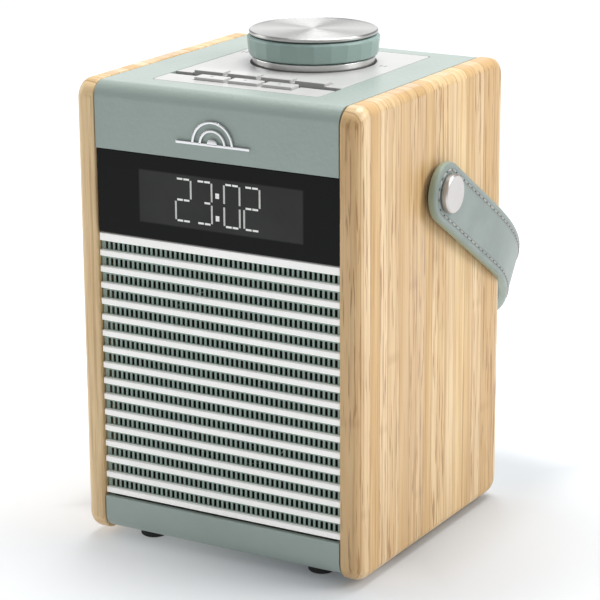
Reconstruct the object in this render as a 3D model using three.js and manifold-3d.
// Compact tabletop alarm radio: timber side panels, a plastic case between them, a clock display over a
// slotted loudspeaker front, a key plate with a turn-and-press knob on top, and a leather carrying strap.
// Millimetres, +Z up, the front faces -Y, and the feet stand on z = 0.

import * as THREE from 'three';
import { mergeVertices } from 'three/addons/utils/BufferGeometryUtils.js';
import Module from 'manifold-3d';

const wasm = await Module();
wasm.setup();

// ---- Driving dimensions -----------------------------------------------------------------------------

const gap = 0.3; // clearance between neighbouring solids

// Timber side panels
const sideThickness = 7.9;
const sideDepth = 112.3;
const sideHeight = 170.9;
const sideCorner = 7; // corner radius of the side profile
const sideFillet = 3.8; // rounding of the outer edge
const footHeight = 3.3;
const sideLift = 2; // the panels end this far above the table

// Case between the panels
const bayWidth = 100; // clear width between the panels
const sideSeam = 0.4; // dark seam between case and panel
const frontInset = 0.4; // case front behind the panels' front edges
const backInset = 2; // case back ahead of the panels' rear edges
const bottomInset = 1.6;
const topInset = 0.2;
const wall = 2.2;
const caseCorner = 5.5;
const lowerBand = 13;
const upperBand = 23.9;
const displayHeight = 31.2;
const lowerSeam = 1; // dark line between grille and lower band
const frontRebate = 0.8; // display and grille sit this far behind the bands
const baffleSetback = 7.2; // baffle face behind the case front
const baffleThickness = 3;

// Display
const displayThickness = 2;
const lcdWidth = 69;
const lcdHeight = 21;
const lcdGlassThickness = 1.2;
const lcdHousingDepth = 8;
const lcdHousingWall = 1.5;
const lcdShift = 1.7; // the live area sits a little right of centre
const displayCorner = 0.6;

// Grille
const slotRows = 16;
const barHeight = 2.2;
const topBarHeight = 2.9;
const barDepth = 1.1;
const grilleThickness = 1.4;
const slotHeight = 2.7;
const slotsPerRow = 3;
const slotBridge = 2.6;
const slotMargin = 2.2; // green margin at a row's ends
const railWidth = 1.4;
const railDepth = 1.5;

// Loudspeaker
const speakerRadius = 38;
const speakerRim = 5; // the baffle covers this much of the basket's rim
const speakerDepth = 31;
const magnetRadius = 19;
const magnetDepth = 12.6;
const coneThickness = 0.9;

// Control plate and keys
const plateWidth = 68;
const plateDepth = 84.5;
const plateCorner = 2;
const plateShift = 0.25; // plate centre behind the case centre
const plateLip = 2; // hidden flange under the case top
const plateLipThickness = 1.5;
const grooveFront = 11.8; // from the plate's front edge to the groove
const grooveWidth = 4.7;
const grooveDepth = 1;
const keyPitch = 13.9;
const keyWidth = 12.2;
const keyCorner = 0.6;
const keyDepth = 5.8;
const keyRise = 1;
const keyTravel = 0.8;
const keyLip = 0.5;
const keyLipThickness = 1;
const rearKeys = 4;
const frontKeys = 3;
const switchSize = 5;
const switchHeight = 3.2;
const boardThickness = 1.6;

// Knob
const knobSetback = 14.5; // knob axis behind the case centre
const knobRadius = 24.5;
const knobHeight = 12.3; // above the case top
const knobRingFoot = 3; // foot of the grip ring above the case top
const knobRingTaper = 0.6; // the ring's foot inside its top
const knobRingFacets = 24;
const knobCapThickness = 1.6;
const knobTravel = 0.8;
const knobBaseStep = 2.1; // base rim inside the grip ring's radius
const knobBaseHollow = 3; // wall of the base below its top plate
const knobSkirt = 2.5; // base reaches this far below the case top
const shaftRadius = 3;
const plungerRadius = 4.6;
const encoderSize = 14;
const encoderHeight = 7;

// Strap and studs
const pivotDrop = 39.9; // stud axis below the panels' top
const pivotSetback = 1.2; // stud axis behind the panels' middle
const strapWidth = 22.4;
const strapThickness = 3.4;
const strapStraight = 56; // stud axis to the start of the loop
const strapLoop = 82; // depth of the loop's inner face
const strapRestAngle = 32; // degrees below horizontal
const washerThickness = 1;
const washerRadius = 8;
const studRadius = 7.1;
const studHead = 2.4;
const studPin = 2.6;
const nutThickness = 4;
const nutRadius = 5;

// Rear
const rearTopDrop = 14; // rear cover's top edge below the case top
const doorWidth = 60;
const doorHeight = 42;
const doorLift = 16; // door above the case bottom
const doorCorner = 1.7;
const batteryWidth = 54;
const batteryHeight = 36;
const batteryDepth = 18;
const batteryCorner = 4;
const batterySetback = 3; // battery behind the door
const screwRadius = 1.4;
const screwHead = 2.8;
const screwLength = 11;
const screwSink = 1.4; // depth of the head's recess
const bossSize = 9;
const bossInset = 8; // screw axis inside the cover's top and bottom edges
const mainBoardWidth = 80;
const mainBoardHeight = 64;
const mainBoardLift = 12; // board above the battery door
const mainBoardSetback = 8.3; // board behind face to the rear cover's inner face
const socketLift = 7; // socket axis above the board's lower edge
const socketSpacing = 22;
const socketWall = 0.4;
const tongueThickness = 0.7;
const tongueMargin = 1.6; // clear of the socket's ends
const shieldSize = 22;
const shieldHeight = 4;
const shieldInset = 4; // from the board's top corner

// Telescopic aerial, folded down behind the case
const aerialSide = 38; // from the centre line towards -X
const aerialDrop = 20; // swivel axis below the case top
const aerialLength = 68;
const aerialRadius = 2.6;
const aerialWall = 0.6;
const aerialExtend = 36; // travel of each telescoping section
const aerialPlate = 12;
const aerialPlateCorner = 2;
const aerialPad = 2; // thickness of the fixed pad
const aerialDisc = 1.5; // thickness of the elbow's disc
const earThickness = 1.3;
const earHeight = 4.8;

// Feet and badge
const footRadius = 5;
const footSide = 36;
const footEnd = 44;
const badgeWidth = 30;
const badgeThickness = 0.7;
const badgeLift = 5.6; // badge foot above the upper band's lower edge

// ---- Worked-out places ------------------------------------------------------------------------------

const bayHalf = bayWidth / 2;
const sideFace = bayHalf + sideThickness;
const sideTop = sideLift + sideHeight;
const caseHalf = bayHalf - sideSeam;
const caseFront = -sideDepth / 2 + frontInset;
const caseBack = sideDepth / 2 - backInset;
const caseBottom = sideLift + bottomInset;
const caseTop = sideTop - topInset;
const innerHalf = caseHalf - wall;
const innerTop = caseTop - wall;
const innerBack = caseBack - wall;
const frontOpenBottom = caseBottom + lowerBand;
const frontOpenTop = caseTop - upperBand;
const displayBottom = frontOpenTop - displayHeight;
const displayMiddle = (frontOpenTop + displayBottom) / 2;
const faceFront = caseFront + frontRebate;
const baffleFront = caseFront + baffleSetback;
const baffleBack = baffleFront + baffleThickness;
const grilleBottom = frontOpenBottom + lowerSeam;
const speakerMiddle = (grilleBottom + displayBottom) / 2;
const pivotHeight = sideTop - pivotDrop;
const pivotAxis = [0, pivotSetback, pivotHeight];

// ---- Finishes ---------------------------------------------------------------------------------------

function finish(color, roughness, metalness = 0) {
  return new THREE.MeshStandardMaterial({ color, roughness, metalness });
}

const finishes = {
  timber: finish(0xe3c594, 0.5),
  casePlastic: finish(0xb4c6be, 0.45),
  grillePlastic: finish(0x9cb4a8, 0.5),
  barPlastic: finish(0xf3efe8, 0.4),
  glossBlack: finish(0x1c1d1e, 0.08),
  displayGlass: finish(0x3a3c3c, 0.15),
  platePlastic: finish(0xeceeec, 0.3),
  keyPlastic: finish(0xf1f2f0, 0.35),
  spunAluminium: finish(0xdfe1e2, 0.25, 1),
  steel: finish(0xb9bbbd, 0.3, 1),
  chrome: finish(0xe8e8e8, 0.08, 1),
  leather: finish(0xa6b6ac, 0.6),
  rubber: finish(0x202020, 0.9),
  blackPlastic: finish(0x2a2b2c, 0.6),
  board: finish(0x1f5a3a, 0.5),
  cone: finish(0x303030, 0.85),
  battery: finish(0x3e5a78, 0.5),
  fibreboard: finish(0x6b5a44, 0.8),
};

// ---- Shape helpers ----------------------------------------------------------------------------------

// A closed geometry as a solid that can be joined and cut.
function solid(geometry) {
  const bare = geometry.clone();
  bare.deleteAttribute('normal');
  bare.deleteAttribute('uv');
  const merged = mergeVertices(bare, 1e-4);
  const corners = merged.index.array;
  const faces = [];
  for (let i = 0; i < corners.length; i += 3) {
    const [a, b, c] = [corners[i], corners[i + 1], corners[i + 2]];
    if (a !== b && b !== c && c !== a) faces.push(a, b, c);
  }
  const vertProperties = new Float32Array(merged.attributes.position.array);
  return new wasm.Manifold(new wasm.Mesh({ numProp: 3, vertProperties, triVerts: new Uint32Array(faces) }));
}

function geometryOf(body) {
  const mesh = body.getMesh();
  const geometry = new THREE.BufferGeometry();
  geometry.setAttribute('position', new THREE.BufferAttribute(mesh.vertProperties, 3));
  geometry.setIndex(new THREE.BufferAttribute(mesh.triVerts, 1));
  geometry.computeVertexNormals();
  return geometry;
}

// A block between two corners.
function block([x0, y0, z0], [x1, y1, z1]) {
  const geometry = new THREE.BoxGeometry(x1 - x0, y1 - y0, z1 - z0);
  geometry.translate((x0 + x1) / 2, (y0 + y1) / 2, (z0 + z1) / 2);
  return solid(geometry);
}

// A rectangle with round corners, between two corners of a plane.
function roundedRectangle(x0, y0, x1, y1, radius) {
  const shape = new THREE.Shape();
  shape.moveTo(x0 + radius, y0);
  shape.lineTo(x1 - radius, y0);
  shape.absarc(x1 - radius, y0 + radius, radius, -Math.PI / 2, 0);
  shape.absarc(x1 - radius, y1 - radius, radius, 0, Math.PI / 2);
  shape.absarc(x0 + radius, y1 - radius, radius, Math.PI / 2, Math.PI);
  shape.absarc(x0 + radius, y0 + radius, radius, Math.PI, 1.5 * Math.PI);
  return shape;
}

const alongX = new THREE.Matrix4().makeBasis(
  new THREE.Vector3(0, 1, 0),
  new THREE.Vector3(0, 0, 1),
  new THREE.Vector3(1, 0, 0),
);
const alongMinusY = new THREE.Matrix4().makeBasis(
  new THREE.Vector3(1, 0, 0),
  new THREE.Vector3(0, 0, 1),
  new THREE.Vector3(0, -1, 0),
);

function prism(shape, depth, options = {}) {
  return new THREE.ExtrudeGeometry(shape, { depth, bevelEnabled: false, curveSegments: 4, ...options });
}

// Prisms of an outline drawn in YZ, XZ or XY, between two places on the third axis.
function prismX(shape, x0, x1, options) {
  return solid(prism(shape, x1 - x0, options).applyMatrix4(alongX).translate(x0, 0, 0));
}

function prismY(shape, y0, y1, options) {
  return solid(prism(shape, y1 - y0, options).applyMatrix4(alongMinusY).translate(0, y1, 0));
}

function prismZ(shape, z0, z1, options) {
  return solid(prism(shape, z1 - z0, options).translate(0, 0, z0));
}

// A turned piece from [radius, height] points, closed on the axis or on itself, with its axis along Z.
function turned(profile, segments = 24) {
  const points = profile.map(([radius, height]) => new THREE.Vector2(radius, height));
  const closed = points[0].x === 0 && points.at(-1).x === 0;
  if (THREE.ShapeUtils.area(points) < 0) points.reverse();
  if (!closed) points.push(points[0].clone());
  return new THREE.LatheGeometry(points, segments).rotateX(Math.PI / 2);
}

function turnedZ(profile, [x, y, z], segments) {
  return solid(turned(profile, segments).translate(x, y, z));
}

// Height along +Y.
function turnedY(profile, [x, y, z], segments) {
  return solid(turned(profile, segments).rotateX(-Math.PI / 2).translate(x, y, z));
}

// Height along +X.
function turnedX(profile, [x, y, z], segments) {
  return solid(turned(profile, segments).rotateY(Math.PI / 2).translate(x, y, z));
}

// [radius, height] points of a plain disc or rod, and of a ring.
function rod(radius, low, high) {
  return [[0, low], [radius, low], [radius, high], [0, high]];
}

function ring(inner, outer, low, high) {
  return [[inner, low], [outer, low], [outer, high], [inner, high]];
}

const radio = new THREE.Group();
const sides = [['left', -1], ['right', 1]];

function add(name, body, material, parent = radio) {
  const mesh = new THREE.Mesh(geometryOf(body), material);
  mesh.name = name;
  parent.add(mesh);
}

// ---- Timber side panels -----------------------------------------------------------------------------

function sidePanel(side) {
  const inset = sideFillet;
  const outline = roundedRectangle(
    -sideDepth / 2 + inset, sideLift + inset, sideDepth / 2 - inset, sideTop - inset,
    Math.max(sideCorner - inset, 1),
  );
  const bevel = {
    bevelEnabled: true, bevelThickness: sideFillet, bevelSize: sideFillet, bevelSegments: 3, curveSegments: 3,
  };
  // Rounded on both faces, and twice too thick, then cut back to its rounded outer half.
  const rounded = prismX(outline, -sideFace + sideFillet, sideFace - sideFillet, bevel);
  const [x0, x1] = side > 0 ? [bayHalf, sideFace + 1] : [-sideFace - 1, -bayHalf];
  const half = rounded.intersect(block([x0, -sideDepth, 0], [x1, sideDepth, sideTop + 1]));
  const hole = rod(studPin + gap, -sideFace - 1, sideFace + 1);
  return half.subtract(turnedX(hole, pivotAxis));
}

for (const [label, side] of sides) add(`${label}_side_panel`, sidePanel(side), finishes.timber);

// ---- Case shells ------------------------------------------------------------------------------------

const rearCoverBottom = frontOpenBottom;
const rearCoverTop = caseTop - rearTopDrop;
const screwHeights = [rearCoverBottom + bossInset, rearCoverTop - bossInset];
const screwSide = innerHalf - bossSize / 2;

const plateFront = plateShift - plateDepth / 2;
const plateBack = plateShift + plateDepth / 2;

function plateOutline(grow) {
  const half = plateWidth / 2 + grow;
  return roundedRectangle(-half, plateFront - grow, half, plateBack + grow, plateCorner + Math.max(grow, 0));
}

function caseBox() {
  const outer = roundedRectangle(caseFront, caseBottom, caseBack, caseTop, caseCorner);
  const inner = roundedRectangle(
    caseFront + wall, caseBottom + wall, innerBack, innerTop, Math.max(caseCorner - wall, 0.5),
  );
  let box = prismX(outer, -caseHalf, caseHalf).subtract(prismX(inner, -innerHalf, innerHalf));
  for (const x of [-screwSide, screwSide]) {
    for (const z of screwHeights) {
      const half = bossSize / 2;
      const reach = Math.sign(x) * wall / 2; // the boss grows out of the end wall
      const low = [Math.min(x - half, x - half + reach), innerBack - gap - screwLength, z - half];
      const high = [Math.max(x + half, x + half + reach), innerBack - gap, z + half];
      box = box.add(block(low, high));
      box = box.subtract(turnedY(rod(screwRadius + gap, -screwLength - 1, 1), [x, innerBack, z], 10));
    }
  }
  const wide = caseHalf + 1;
  const front = block([-wide, caseFront - 1, frontOpenBottom], [wide, baffleFront - gap, frontOpenTop]);
  const rear = block([-wide, innerBack - gap, rearCoverBottom], [wide, caseBack + 1, rearCoverTop]);
  const plate = prismZ(plateOutline(gap), innerTop - 1, caseTop + 1);
  const studs = turnedX(rod(studPin + gap, -wide, wide), pivotAxis);
  return box.subtract(front).subtract(rear).subtract(plate).subtract(studs);
}

const wholeCase = caseBox();
const splitHeight = displayBottom;
const beyond = sideDepth + sideTop;
const above = block([-beyond, -beyond, splitHeight + gap / 2], [beyond, beyond, beyond]);
const below = block([-beyond, -beyond, -beyond], [beyond, beyond, splitHeight - gap / 2]);
add('top_shell', wholeCase.intersect(above), finishes.casePlastic);
add('bottom_shell', wholeCase.intersect(below), finishes.casePlastic);

// ---- Front: baffle, display and grille --------------------------------------------------------------

const speakerHole = speakerRadius - speakerRim;

function frontBaffle() {
  const half = innerHalf - gap;
  const outline = new THREE.Shape();
  outline.moveTo(-half, frontOpenBottom + gap);
  outline.lineTo(half, frontOpenBottom + gap);
  outline.lineTo(half, frontOpenTop - gap);
  outline.lineTo(-half, frontOpenTop - gap);
  const mouth = turnedY(rod(speakerHole, -1, baffleThickness + 1), [0, baffleFront, speakerMiddle], 32);
  const board = prismY(outline, baffleFront, baffleBack).subtract(mouth);
  const w = lcdWidth / 2 + 2 * gap;
  const h = lcdHeight / 2 + 2 * gap;
  return board.subtract(block(
    [lcdShift - w, baffleFront - 1, displayMiddle - h], [lcdShift + w, baffleBack + 1, displayMiddle + h],
  ));
}

add('front_baffle', frontBaffle(), finishes.fibreboard);

const displayOutline = roundedRectangle(
  -caseHalf, displayBottom + gap, caseHalf, frontOpenTop - gap, displayCorner,
);
add('display_window', prismY(displayOutline, faceFront, faceFront + displayThickness), finishes.glossBlack);

const glassFront = faceFront + displayThickness + gap;
const glassBack = glassFront + lcdGlassThickness;

function lcdBlock(front, back, shrink) {
  const w = lcdWidth / 2 - shrink;
  const h = lcdHeight / 2 - shrink;
  return block([lcdShift - w, front, displayMiddle - h], [lcdShift + w, back, displayMiddle + h]);
}

add('lcd_glass', lcdBlock(glassFront, glassBack, 1), finishes.displayGlass);
const lcdPocket = lcdBlock(glassBack, glassBack + lcdHousingDepth - lcdHousingWall, lcdHousingWall + 1);
const lcdHousing = lcdBlock(glassBack + gap, glassBack + lcdHousingDepth, 0).subtract(lcdPocket);
add('lcd_housing', lcdHousing, finishes.blackPlastic);

const barTop = displayBottom - gap;
const barPitch = (barTop - topBarHeight / 2 - grilleBottom - barHeight / 2) / slotRows;
const panelFront = faceFront + barDepth + gap;
const panelBack = panelFront + grilleThickness;
const topBar = barTop - topBarHeight / 2;
const barHeights = Array.from({ length: slotRows + 1 }, (_, row) => topBar - row * barPitch);

function barSize(row) {
  return row === 0 ? topBarHeight : barHeight;
}

function grillePanel() {
  const half = caseHalf;
  let panel = block([-half, panelFront, grilleBottom], [half, panelBack, barTop]);
  const slotSpan = (2 * (half - slotMargin) + slotBridge) / slotsPerRow;
  for (let row = 0; row < slotRows; row += 1) {
    const middle = (barHeights[row] + barHeights[row + 1]) / 2;
    for (let slot = 0; slot < slotsPerRow; slot += 1) {
      const x = -half + slotMargin + slot * slotSpan;
      const low = [x, panelFront - 1, middle - slotHeight / 2];
      const high = [x + slotSpan - slotBridge, panelBack + 1, middle + slotHeight / 2];
      panel = panel.subtract(block(low, high));
    }
  }
  // Each bar passes through a notch at either end of the panel.
  const notch = railWidth + gap;
  barHeights.forEach((z, row) => {
    const reach = barSize(row) / 2 + gap;
    for (const x of [-half - 1, half - notch]) {
      const low = [x, panelFront - 1, z - reach];
      panel = panel.subtract(block(low, [x + notch + 1, panelBack + 1, z + reach]));
    }
  });
  return panel;
}

add('grille_panel', grillePanel(), finishes.grillePlastic);

// The bars are one moulding: two rails behind the panel carry every bar by its ends.
function grilleBars() {
  const half = caseHalf;
  const inset = 0.2; // keeps the joined blocks' faces apart
  const railFront = panelBack + gap;
  const railBack = railFront + railDepth;
  const low = barHeights.at(-1) - barHeight / 2 + inset;
  const stubWidth = railWidth - inset;
  const barBack = faceFront + barDepth;
  let bars = block([-half, faceFront, topBar - topBarHeight / 2], [half, barBack, barTop]);
  for (const x of [-half + inset, half - inset - stubWidth]) {
    bars = bars.add(block([x, railFront, low], [x + stubWidth, railBack, barTop - inset]));
  }
  barHeights.forEach((z, row) => {
    const reach = barSize(row) / 2;
    if (row > 0) bars = bars.add(block([-half, faceFront, z - reach], [half, barBack, z + reach]));
    for (const x of [-half + 2 * inset, half - stubWidth]) {
      const low = [x, faceFront + inset, z - reach + 2 * inset];
      const high = [x + stubWidth - 2 * inset, railBack - inset, z + reach - 2 * inset];
      bars = bars.add(block(low, high));
    }
  });
  return bars;
}

add('grille_bars', grilleBars(), finishes.barPlastic);

// ---- Loudspeaker ------------------------------------------------------------------------------------

const speakerFront = [0, baffleBack + gap, speakerMiddle];
const basketNeck = magnetRadius + 1.6;
const throat = 8; // hole in the basket's back plate

const basketProfile = [
  [speakerRadius - 6.5, 0], [speakerRadius, 0], [speakerRadius, 1.5], [speakerRadius - 4.4, 1.5],
  [basketNeck + 1, speakerDepth - 12], [throat, speakerDepth - 12], [throat, speakerDepth - 13.5],
  [basketNeck, speakerDepth - 13.5], [speakerRadius - 6.5, 1.2],
];
add('speaker_basket', turnedY(basketProfile, speakerFront, 20), finishes.steel);

const surroundInner = speakerRadius - 11.4;
const surroundOuter = speakerHole - 2 * gap;
const surroundProfile = [
  [surroundInner, -gap], [surroundInner, -1.1], [surroundInner + 2, -2.4], [surroundOuter - 2, -2.4],
  [surroundOuter, -1.1], [surroundOuter, -gap], [surroundOuter - 2, -1.2], [surroundInner + 2, -1.2],
];
add('speaker_surround', turnedY(surroundProfile, speakerFront, 20), finishes.rubber);

const coneMouth = surroundInner - gap;
const coneNeck = throat + 1.2;
const coneDepth = speakerDepth - 16.5;
const coneProfile = [
  [coneMouth, -1], [coneMouth, -1 + coneThickness], [coneNeck, coneDepth],
  [coneNeck - 0.9, coneDepth - coneThickness],
];
add('speaker_cone', turnedY(coneProfile, speakerFront, 20), finishes.cone);

const dustCapRadius = coneNeck - 1.6;
const dustCapProfile = [
  [0, coneDepth - 3.6], [dustCapRadius * 0.6, coneDepth - 3], [dustCapRadius, coneDepth - 1],
  [dustCapRadius - 0.9, coneDepth - 1], [dustCapRadius * 0.5, coneDepth - 2.3], [0, coneDepth - 2.8],
];
add('speaker_dust_cap', turnedY(dustCapProfile, speakerFront, 20), finishes.cone);

const magnetFront = speakerDepth - 12 + gap;
const magnetProfile = [
  [0, magnetFront - 3.5], [throat - 1, magnetFront - 3.5], [throat - 1, magnetFront],
  [magnetRadius, magnetFront], [magnetRadius, magnetFront + magnetDepth], [0, magnetFront + magnetDepth],
];
add('speaker_magnet', turnedY(magnetProfile, speakerFront, 20), finishes.steel);

// ---- Control plate, keys and their board ------------------------------------------------------------

const knobAxis = [0, knobSetback];
const knobBaseRadius = knobRadius - knobBaseStep;
const knobHole = knobBaseRadius + 1;
const grooveStart = plateFront + grooveFront;
const grooveEnd = grooveStart + grooveWidth;

// Keys either side of the groove, as [name, x of the middle, front edge, back edge].
function keyRow(prefix, count, front) {
  return Array.from({ length: count }, (_, i) => {
    const x = (i - (count - 1) / 2) * keyPitch;
    return [`${prefix}_${i + 1}`, x, front, front + keyDepth];
  });
}

const keys = [
  ...keyRow('rear_key', rearKeys, grooveEnd + gap),
  ...keyRow('front_key', frontKeys, grooveStart - gap - keyDepth),
];

const lipTop = innerTop - gap; // the hidden flange under the case top
const lipBottom = lipTop - plateLipThickness;

function controlPlate() {
  let plate = prismZ(plateOutline(0), lipTop - 0.5, caseTop);
  plate = plate.add(prismZ(plateOutline(plateLip), lipBottom, lipTop));
  const half = plateWidth / 2 + 1;
  plate = plate.subtract(block([-half, grooveStart, caseTop - grooveDepth], [half, grooveEnd, caseTop + 1]));
  for (const [, x, front, back] of keys) {
    const w = keyWidth / 2 + gap;
    plate = plate.subtract(block([x - w, front - gap, lipBottom - 1], [x + w, back + gap, caseTop + 1]));
  }
  return plate.subtract(turnedZ(rod(knobHole, lipBottom - 1, caseTop + 1), [...knobAxis, 0], 40));
}

add('control_plate', controlPlate(), finishes.platePlastic);

const keyLipTop = lipBottom - gap;
const keyBottom = keyLipTop - keyLipThickness - 1;
const switchTop = keyBottom - keyTravel - gap;
const boardTop = switchTop - switchHeight;

for (const [name, x, front, back] of keys) {
  const w = keyWidth / 2;
  const outline = roundedRectangle(x - w, front, x + w, back, keyCorner);
  const lip = block(
    [x - w - keyLip, front - keyLip, keyLipTop - keyLipThickness], [x + w + keyLip, back + keyLip, keyLipTop],
  );
  const key = prismZ(outline, keyBottom, caseTop + keyRise, { curveSegments: 2 }).add(lip);
  add(name, key, finishes.keyPlastic);
}

// The key board carries one tactile switch under each key.
function keyBoard() {
  const half = plateWidth / 2 - 3;
  const back = knobSetback - knobHole + 2;
  let board = block([-half, plateFront + 1, boardTop - boardThickness], [half, back, boardTop]);
  for (const [, x, front, end] of keys) {
    const y = (front + end) / 2;
    const s = switchSize / 2;
    board = board.add(block([x - s, y - s, boardTop - 0.2], [x + s, y + s, switchTop]));
  }
  return board;
}

add('key_board', keyBoard(), finishes.board);

// ---- Knob and encoder -------------------------------------------------------------------------------

const knobTop = caseTop + knobHeight;
const capBottom = knobTop - knobCapThickness;
const ringBottom = caseTop + knobRingFoot;
const ringTop = capBottom - gap;
const ringInner = knobRadius - 5.5;
const shaftHole = shaftRadius + 0.4;
const shaftTop = capBottom - 0.4;

const baseProfile = [
  [shaftHole, caseTop + 0.4], [knobBaseRadius - knobBaseHollow, caseTop + 0.4],
  [knobBaseRadius - knobBaseHollow, caseTop - knobSkirt],
  [knobBaseRadius, caseTop - knobSkirt], [knobBaseRadius + 0.5, ringBottom - gap],
  [shaftHole, ringBottom - gap],
];
add('knob_base', turnedZ(baseProfile, [...knobAxis, 0], 36), finishes.steel);

const ringProfile = [
  [ringInner, ringBottom], [knobRadius - knobRingTaper, ringBottom], [knobRadius, ringTop - 1],
  [knobRadius - 0.5, ringTop], [ringInner, ringTop],
];
add('knob_ring', turnedZ(ringProfile, [...knobAxis, 0], knobRingFacets), finishes.casePlastic);

const capHub = shaftHole + 2.6;
const capProfile = [
  [0, shaftTop + gap], [shaftHole, shaftTop + gap], [shaftHole, ringBottom + 1], [capHub, ringBottom + 1],
  [capHub, capBottom], [knobRadius - 1, capBottom], [knobRadius - 0.7, knobTop - 0.7],
  [knobRadius - 1.6, knobTop], [0, knobTop - 0.2],
];
add('knob_cap', turnedZ(capProfile, [...knobAxis, 0], 36), finishes.spunAluminium);

// The shaft turns in the plunger, and both go down together in the encoder's bush.
const encoderTop = caseTop - knobSkirt - knobTravel - 1.5;
const bushTop = caseTop + 0.4 - knobTravel - 2 * gap;
const plungerTop = bushTop - 0.5;
const plungerBottom = encoderTop - 3.4;
const shaftBottom = plungerBottom - 1;
const encoderBottom = encoderTop - encoderHeight;
const plungerHole = shaftRadius + gap;

add('encoder_shaft', turnedZ(rod(shaftRadius, shaftBottom, shaftTop), [...knobAxis, 0], 20), finishes.steel);
const plunger = ring(plungerHole, plungerRadius, plungerBottom, plungerTop);
add('encoder_plunger', turnedZ(plunger, [...knobAxis, 0], 20), finishes.blackPlastic);

function encoderBody() {
  const half = encoderSize / 2;
  const [x, y] = knobAxis;
  let body = block([x - half, y - half, encoderBottom], [x + half, y + half, encoderTop]);
  body = body.add(turnedZ(rod(plungerRadius + 2, encoderTop - 1, bushTop), [x, y, 0], 20));
  const bore = rod(plungerRadius + gap, encoderBottom + 1, bushTop + 1);
  return body.subtract(turnedZ(bore, [x, y, 0], 20));
}

add('encoder_body', encoderBody(), finishes.blackPlastic);

// ---- Rear cover, battery and boards -----------------------------------------------------------------

const doorBottom = caseBottom + doorLift;
const doorTop = doorBottom + doorHeight;
const mainBoardBack = innerBack - mainBoardSetback;
const mainBoardFront = mainBoardBack - boardThickness;
const mainBoardBottom = doorTop + mainBoardLift;
const socketHeight = mainBoardBottom + socketLift;
const powerSocket = { x: socketSpacing / 2, width: 9, height: 3.2 };
const headphone = { x: -socketSpacing / 2, radius: 3, bore: 1.8 };

function socketOutline(grow) {
  const { x, width, height } = powerSocket;
  const w = width / 2 + grow;
  const h = height / 2 + grow;
  return roundedRectangle(x - w, socketHeight - h, x + w, socketHeight + h, h * 0.98);
}

function rearCover() {
  const half = caseHalf;
  let cover = block([-half, innerBack, rearCoverBottom + gap], [half, caseBack, rearCoverTop - gap]);
  const door = roundedRectangle(
    -doorWidth / 2 - gap, doorBottom - gap, doorWidth / 2 + gap, doorTop + gap, doorCorner + gap,
  );
  cover = cover.subtract(prismY(door, innerBack - 1, caseBack + 1));
  cover = cover.subtract(prismY(socketOutline(gap), innerBack - 1, caseBack + 1));
  const jackHole = rod(headphone.radius + gap, -1, wall + 1);
  cover = cover.subtract(turnedY(jackHole, [headphone.x, innerBack, socketHeight], 16));
  for (const x of [-screwSide, screwSide]) {
    for (const z of screwHeights) {
      cover = cover.subtract(turnedY(rod(screwRadius + gap, -1, wall + 1), [x, innerBack, z], 10));
      const recess = rod(screwHead + gap, wall - screwSink, wall + 1);
      cover = cover.subtract(turnedY(recess, [x, innerBack, z], 16));
    }
  }
  return cover;
}

add('rear_cover', rearCover(), finishes.casePlastic);

for (const [label, side] of sides) {
  screwHeights.forEach((z, level) => {
    const profile = [
      [0, -screwLength + 1], [screwRadius, -screwLength + 1], [screwRadius, wall - screwSink + gap],
      [screwHead, wall - screwSink + gap], [screwHead, wall - 0.1], [0, wall - 0.1],
    ];
    const name = `rear_screw_${label}_${level === 0 ? 'lower' : 'upper'}`;
    add(name, turnedY(profile, [side * screwSide, innerBack, z], 10), finishes.steel);
  });
}

const doorOutline = roundedRectangle(-doorWidth / 2, doorBottom, doorWidth / 2, doorTop, doorCorner);
add('battery_door', prismY(doorOutline, innerBack, caseBack), finishes.casePlastic);

const batteryBack = innerBack - batterySetback;
const batteryMiddle = (doorBottom + doorTop) / 2;
const batteryOutline = roundedRectangle(
  -batteryWidth / 2, batteryMiddle - batteryHeight / 2, batteryWidth / 2, batteryMiddle + batteryHeight / 2,
  batteryCorner,
);
add('battery_pack', prismY(batteryOutline, batteryBack - batteryDepth, batteryBack), finishes.battery);

const boardHalf = Math.min(mainBoardWidth / 2, innerHalf - bossSize - 2 * gap);
const mainBoardTop = mainBoardBottom + mainBoardHeight;
add(
  'main_board',
  block([-boardHalf, mainBoardFront, mainBoardBottom], [boardHalf, mainBoardBack, mainBoardTop]),
  finishes.board,
);
const shieldFront = mainBoardFront - gap - shieldHeight;
add(
  'tuner_shield',
  block(
    [-boardHalf + shieldInset, shieldFront, mainBoardTop - shieldInset - shieldSize],
    [-boardHalf + shieldInset + shieldSize, mainBoardFront - gap, mainBoardTop - shieldInset],
  ),
  finishes.steel,
);

// The sockets stand on the main board and look out through the rear cover.
const socketBack = caseBack - 0.5;
const socketFront = mainBoardBack + gap;

function powerSocketBody() {
  const { x, width } = powerSocket;
  const shell = prismY(socketOutline(0), socketFront, socketBack, { curveSegments: 2 });
  const mouth = prismY(socketOutline(-socketWall), socketFront + 2, socketBack + 1, { curveSegments: 2 });
  const reach = width / 2 - tongueMargin;
  const tongue = block(
    [x - reach, socketFront + 1, socketHeight - tongueThickness / 2],
    [x + reach, socketBack - 1, socketHeight + tongueThickness / 2],
  );
  return shell.subtract(mouth).add(tongue);
}

add('power_socket', powerSocketBody(), finishes.steel);

const headphoneLength = socketBack - socketFront;
const headphoneProfile = [
  [0, 0], [headphone.radius, 0], [headphone.radius, headphoneLength],
  [headphone.bore, headphoneLength], [headphone.bore, 2], [0, 2],
];
const headphoneBody = turnedY(headphoneProfile, [headphone.x, socketFront, socketHeight], 16);
add('headphone_socket', headphoneBody, finishes.blackPlastic);

// ---- Feet and badge ---------------------------------------------------------------------------------

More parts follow.
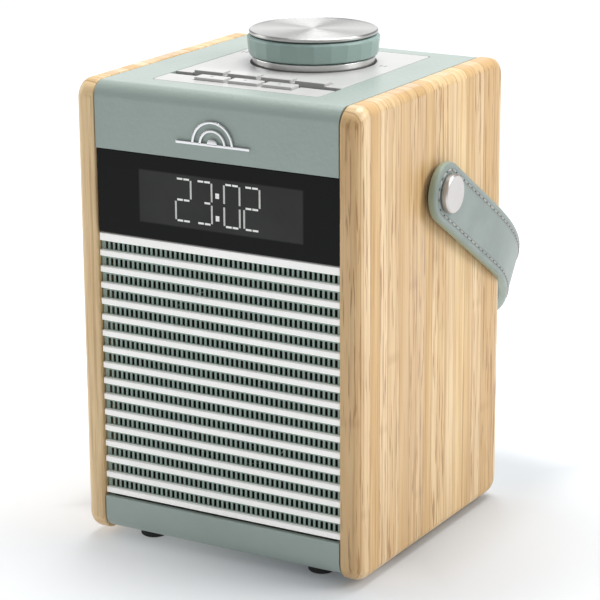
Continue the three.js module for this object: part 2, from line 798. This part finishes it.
for (const [label, side] of sides) {
  for (const [end, y] of [['front', -footEnd], ['rear', footEnd]]) {
    const foot = [
      [0, 0], [footRadius - 0.5, 0], [footRadius, 0.6], [footRadius, footHeight], [0, footHeight],
    ];
    add(`foot_${end}_${label}`, turnedZ(foot, [side * footSide, y, 0], 20), finishes.rubber);
  }
}

// A rising-wave emblem: a half disc and two arches on one bar.
function badge() {
  const foot = frontOpenTop + badgeLift;
  const front = caseFront - gap - badgeThickness;
  const back = caseFront - gap;
  const unit = badgeWidth / 30;
  const bar = block([-badgeWidth / 2, front, foot], [badgeWidth / 2, back, foot + unit]);
  const floor = block([-badgeWidth, front - 1, foot - badgeWidth], [badgeWidth, back + 1, foot + unit / 2]);
  const middle = [0, front, foot + unit / 2];
  let waves = turnedY(rod(2.2 * unit, 0, badgeThickness), middle, 20);
  for (const radius of [4.6 * unit, 7.6 * unit]) {
    waves = waves.add(turnedY(ring(radius, radius + 0.9 * unit, 0, badgeThickness), middle, 36));
  }
  return waves.subtract(floor).add(bar);
}

add('badge_emblem', badge(), finishes.chrome);

// ---- Strap and studs --------------------------------------------------------------------------------

const strapInner = sideFace + 2 * gap + washerThickness;
const strapOuter = strapInner + strapThickness;
const headInner = strapOuter + gap;

for (const [label, side] of sides) {
  const facing = (profile) => profile.map(([radius, x]) => [radius, side * x]);
  const washer = ring(studPin + gap, washerRadius, sideFace + gap, sideFace + gap + washerThickness);
  add(`${label}_washer`, turnedX(facing(washer), pivotAxis), finishes.blackPlastic);
  const pinEnd = innerHalf - gap - nutThickness - 1;
  const stud = [
    [0, pinEnd], [studPin, pinEnd], [studPin, headInner], [studRadius, headInner],
    [studRadius, headInner + studHead - 0.8], [studRadius - 0.8, headInner + studHead],
    [studRadius - 1.8, headInner + studHead], [studRadius - 2.4, headInner + studHead - 0.3],
    [0, headInner + studHead - 0.3],
  ];
  add(`${label}_stud`, turnedX(facing(stud), pivotAxis, 20), finishes.steel);
  const nut = turnedX(facing(rod(nutRadius, innerHalf - gap - nutThickness, innerHalf - gap)), pivotAxis, 6);
  const thread = turnedX(rod(studPin + gap, -sideFace, sideFace), pivotAxis);
  add(`${label}_stud_nut`, nut.subtract(thread), finishes.steel);
}

// Drawn flat, as X across and Y along the strap, then tilted to where it rests.
function strap() {
  const end = strapWidth / 2;
  const band = new THREE.Shape();
  band.moveTo(strapOuter, -end);
  band.lineTo(strapOuter, strapStraight);
  band.absellipse(0, strapStraight, strapOuter, strapLoop + strapThickness, 0, Math.PI);
  band.lineTo(-strapOuter, -end);
  band.lineTo(-strapInner, -end);
  band.lineTo(-strapInner, strapStraight);
  band.absellipse(0, strapStraight, strapInner, strapLoop, Math.PI, 0, true);
  band.lineTo(strapInner, -end);
  const flat = prismZ(band, -end, end, { curveSegments: 15 });
  const reach = strapStraight + strapLoop + strapWidth;
  const side = new THREE.Shape();
  side.moveTo(reach, -end);
  side.lineTo(reach, end);
  side.lineTo(0, end);
  side.absarc(0, 0, end, Math.PI / 2, 1.5 * Math.PI);
  const rounded = flat.intersect(prismX(side, -strapOuter - 1, strapOuter + 1, { curveSegments: 7 }));
  const hole = rod(studPin + gap, -strapOuter - 1, strapOuter + 1);
  return rounded.subtract(turnedX(hole, [0, 0, 0]));
}

const strapRest = new THREE.Group();
strapRest.position.set(...pivotAxis);
strapRest.rotation.x = -THREE.MathUtils.degToRad(strapRestAngle);
add('handle_strap', strap(), finishes.leather, strapRest);
radio.add(strapRest);

// ---- Aerial -----------------------------------------------------------------------------------------

const aerialX = -aerialSide;
const aerialHeight = caseTop - aerialDrop;
const platePad = caseBack + gap;
const swivelRadius = aerialPlate / 2 - 1.5;
const discFront = platePad + aerialPad + gap;
const discBack = discFront + aerialDisc;
const aerialY = discBack + aerialRadius + 2 * gap;

function aerialBase() {
  const half = aerialPlate / 2;
  const outline = roundedRectangle(
    aerialX - half, aerialHeight - half, aerialX + half, aerialHeight + half, aerialPlateCorner,
  );
  return prismY(outline, platePad, platePad + aerialPad);
}

add('aerial_base', aerialBase(), finishes.blackPlastic);

// The elbow turns on the base about Y, and its two ears hold the rod's knuckle.
const earInner = aerialRadius + gap;
const earOuter = earInner + earThickness;

function aerialElbow() {
  let elbow = turnedY(rod(swivelRadius, 0, aerialDisc), [aerialX, discFront, aerialHeight], 16);
  for (const side of [-1, 1]) {
    const x = [aerialX + side * earInner, aerialX + side * earOuter].sort((a, b) => a - b);
    const low = [x[0], discBack - 0.5, aerialHeight - earHeight / 2];
    elbow = elbow.add(block(low, [x[1], aerialY + aerialRadius, aerialHeight + earHeight / 2]));
  }
  return elbow;
}

add('aerial_elbow', aerialElbow(), finishes.steel);

// Three telescoping sections hang from the knuckle, each inside the one before.
function aerialTube(outer, inner, top, bottom, floor) {
  const profile = [[0, top], [outer, top], [outer, bottom], [inner, bottom], [inner, floor], [0, floor]];
  return turnedZ(profile, [aerialX, aerialY, aerialHeight], 12);
}

const middleRadius = aerialRadius - aerialWall - gap;
const tipRadius = middleRadius - aerialWall / 2 - gap;
const outerTube = aerialTube(aerialRadius, aerialRadius - aerialWall, 0.8, -aerialLength, -6);
add('aerial_outer', outerTube, finishes.chrome);
const middleTube = aerialTube(middleRadius, middleRadius - aerialWall / 2, -7, -aerialLength - 1, -12);
add('aerial_middle', middleTube, finishes.chrome);
const tipProfile = [
  [0, -13], [tipRadius, -13], [tipRadius, -aerialLength - 1.6], [aerialRadius, -aerialLength - 1.6],
  [aerialRadius, -aerialLength - 4], [0, -aerialLength - 4],
];
add('aerial_tip', turnedZ(tipProfile, [aerialX, aerialY, aerialHeight], 12), finishes.chrome);

// ---- Centre the footprint ---------------------------------------------------------------------------

const extent = new THREE.Box3().setFromObject(radio, true);
radio.position.y = -(extent.min.y + extent.max.y) / 2;
const assembly = new THREE.Group();
assembly.add(radio);

export default assembly;
